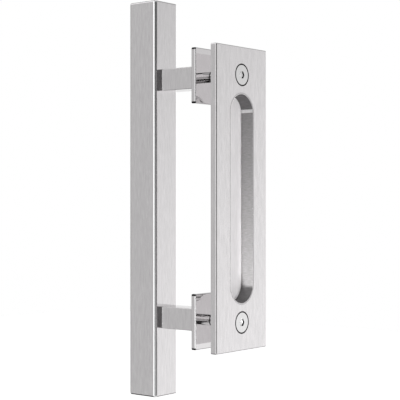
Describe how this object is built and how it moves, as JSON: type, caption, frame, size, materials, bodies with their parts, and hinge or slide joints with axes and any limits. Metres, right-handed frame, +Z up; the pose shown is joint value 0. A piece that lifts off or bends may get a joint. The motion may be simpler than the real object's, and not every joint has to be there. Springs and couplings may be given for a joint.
{
  "type": "barn door handle set",
  "caption": "Brushed steel barn door handle set: a square pull bar on flanged posts, bolted through the door to a flat plate with an obround finger recess.",
  "frame": {"origin": "centre of the flush plate's back face, where it lies on the door, midway between the bolts", "axes": "+Z up along the pull bar; +Y through the door, from the flush plate to the pull bar; X across the plate"},
  "size_m": [0.0606, 0.098, 0.3],
  "materials": {
    "bar_steel": "fine brushing along the bar",
    "post_steel": "fine brushing",
    "flange_steel": "polished, with a faint brushing",
    "plate_steel": "fine upright brushing",
    "cup_steel": "fine upright brushing",
    "bolt_steel": "bright turned steel"
  },
  "bodies": {
    "root": {"pull_tube": "bar_steel", "top_end_cap": "bar_steel", "bottom_end_cap": "bar_steel", "upper_post": "post_steel", "lower_post": "post_steel", "upper_flange": "flange_steel", "lower_flange": "flange_steel", "flush_plate": "plate_steel", "recess_cup": "cup_steel", "upper_bolt": "bolt_steel", "lower_bolt": "bolt_steel"}
  },
  "joints": []
}
